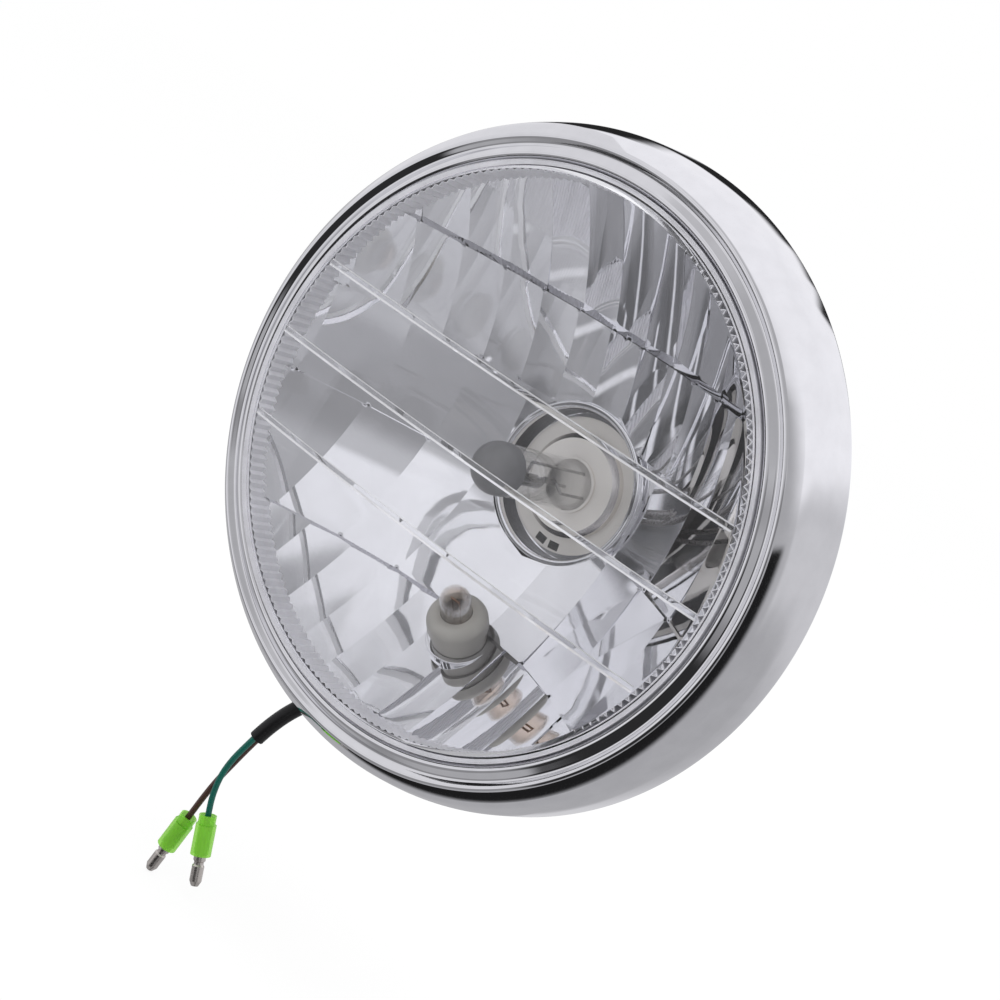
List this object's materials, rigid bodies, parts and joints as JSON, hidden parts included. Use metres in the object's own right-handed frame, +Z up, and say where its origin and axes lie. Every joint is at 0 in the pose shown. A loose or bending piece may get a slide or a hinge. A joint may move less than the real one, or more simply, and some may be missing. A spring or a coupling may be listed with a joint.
{
  "type": "motorcycle headlight",
  "caption": "Round motorcycle headlight insert: chrome rim, clear domed lens, stepped facet mirror, main bulb and parking bulb with bullet-ended leads.",
  "frame": {"origin": "on the optical axis, in the plane of the rim's rear edge, where the bucket's mouth meets it", "axes": "+Y backwards along the optical axis, +Z up, +X to the right of someone facing the lens"},
  "size_m": [0.1966, 0.0945, 0.2778],
  "materials": {
    "rim_chrome": "bright chrome plate",
    "lens_clear": "clear moulded lens",
    "sealant": "dark butyl sealant",
    "mirror_coat": "aluminised mirror facets",
    "spring_steel": "spring steel",
    "zinc_steel": "zinc plated steel",
    "bulb_quartz": "clear bulb glass",
    "tip_paint": "grey anti-dazzle coat",
    "bulb_nickel": "nickel plated base",
    "base_plastic": "moulded insulator",
    "tinned_brass": "tinned brass",
    "lamp_wire": "lamp wire",
    "black_rubber": "moulded rubber",
    "holder_white": "pale silicone rubber",
    "parking_clear": "clear bulb glass",
    "sleeve_black": "soft vinyl sleeve",
    "wire_green": "green insulated wire",
    "wire_brown": "brown insulated wire",
    "connector_green": "translucent green vinyl"
  },
  "bodies": {
    "root": {"rim": "rim_chrome", "lens": "lens_clear", "lens_seal": "sealant", "reflector": "mirror_coat", "unit_clips": "spring_steel", "mount_tabs": "zinc_steel", "tab_nuts": "zinc_steel", "top_hook": "zinc_steel", "bulb_glass": "bulb_quartz", "bulb_tip_cap": "tip_paint", "bulb_base": "bulb_nickel", "bulb_insulator": "base_plastic", "bulb_terminals": "tinned_brass", "bulb_supports": "lamp_wire", "bulb_shield": "lamp_wire", "bulb_filaments": "lamp_wire", "bulb_spring": "spring_steel", "spring_screws": "zinc_steel", "dust_boot": "black_rubber", "parking_holder": "holder_white", "parking_glass": "parking_clear", "parking_filament": "lamp_wire", "lead_sleeve": "sleeve_black", "wire_green": "wire_green", "wire_brown": "wire_brown", "green_connector_sleeve": "connector_green", "brown_connector_sleeve": "connector_green", "green_bullet_pin": "tinned_brass", "brown_bullet_pin": "tinned_brass"}
  },
  "joints": []
}
